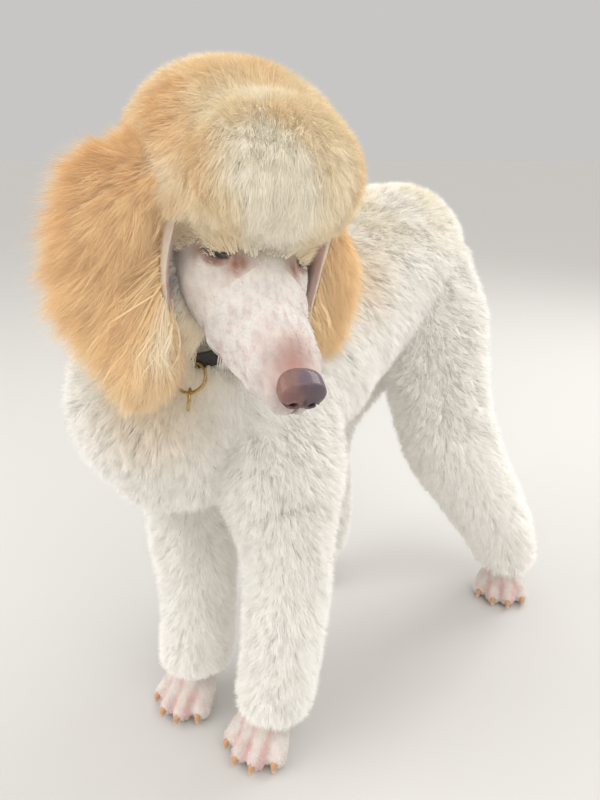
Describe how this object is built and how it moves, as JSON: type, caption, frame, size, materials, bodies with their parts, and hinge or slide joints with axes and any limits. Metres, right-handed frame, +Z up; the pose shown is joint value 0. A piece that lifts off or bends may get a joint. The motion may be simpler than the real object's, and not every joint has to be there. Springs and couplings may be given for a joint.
{
  "type": "standing standard poodle puppy model",
  "caption": "Life-size still model of a young standard poodle standing with its head lowered and turned left, white and apricot puppy coat.",
  "frame": {"origin": "middle of the outline's foot, on the floor", "axes": "+Z up, the dog's body faces -Y, its own left side is +X"},
  "size_m": [0.3652, 0.6364, 0.6844],
  "materials": {
    "white_coat": "dense fluffy curly wool, cream white, with bare pink-white shaved feet",
    "head_coat": "apricot and cream topknot over a shaved white face with pink skin",
    "apricot_coat": "long brushed-out apricot ear hair over thin leather",
    "nose_skin": "moist brown pebbled skin",
    "eye": "dark brown glossy iris and black pupil",
    "claw_horn": "amber to pinkish horn, semi-gloss",
    "collar_strap": "flat dark webbing",
    "ring_brass": "polished brass-coloured ring"
  },
  "bodies": {
    "root": {"claw_fore_left_1": "claw_horn", "claw_fore_left_2": "claw_horn", "claw_fore_left_3": "claw_horn", "claw_fore_left_4": "claw_horn", "claw_fore_right_1": "claw_horn", "claw_fore_right_2": "claw_horn", "claw_fore_right_3": "claw_horn", "claw_fore_right_4": "claw_horn", "claw_hind_left_1": "claw_horn", "claw_hind_left_2": "claw_horn", "claw_hind_left_3": "claw_horn", "claw_hind_left_4": "claw_horn", "claw_hind_right_1": "claw_horn", "claw_hind_right_2": "claw_horn", "claw_hind_right_3": "claw_horn", "claw_hind_right_4": "claw_horn", "collar": "collar_strap", "collar_ring": "ring_brass", "ear_left": "apricot_coat", "ear_right": "apricot_coat", "eye_left": "eye", "eye_right": "eye", "foreleg_left": "white_coat", "foreleg_right": "white_coat", "head": "head_coat", "hindleg_left": "white_coat", "hindleg_right": "white_coat", "neck": "white_coat", "nose": "nose_skin", "tail": "white_coat", "torso": "white_coat"}
  },
  "joints": []
}
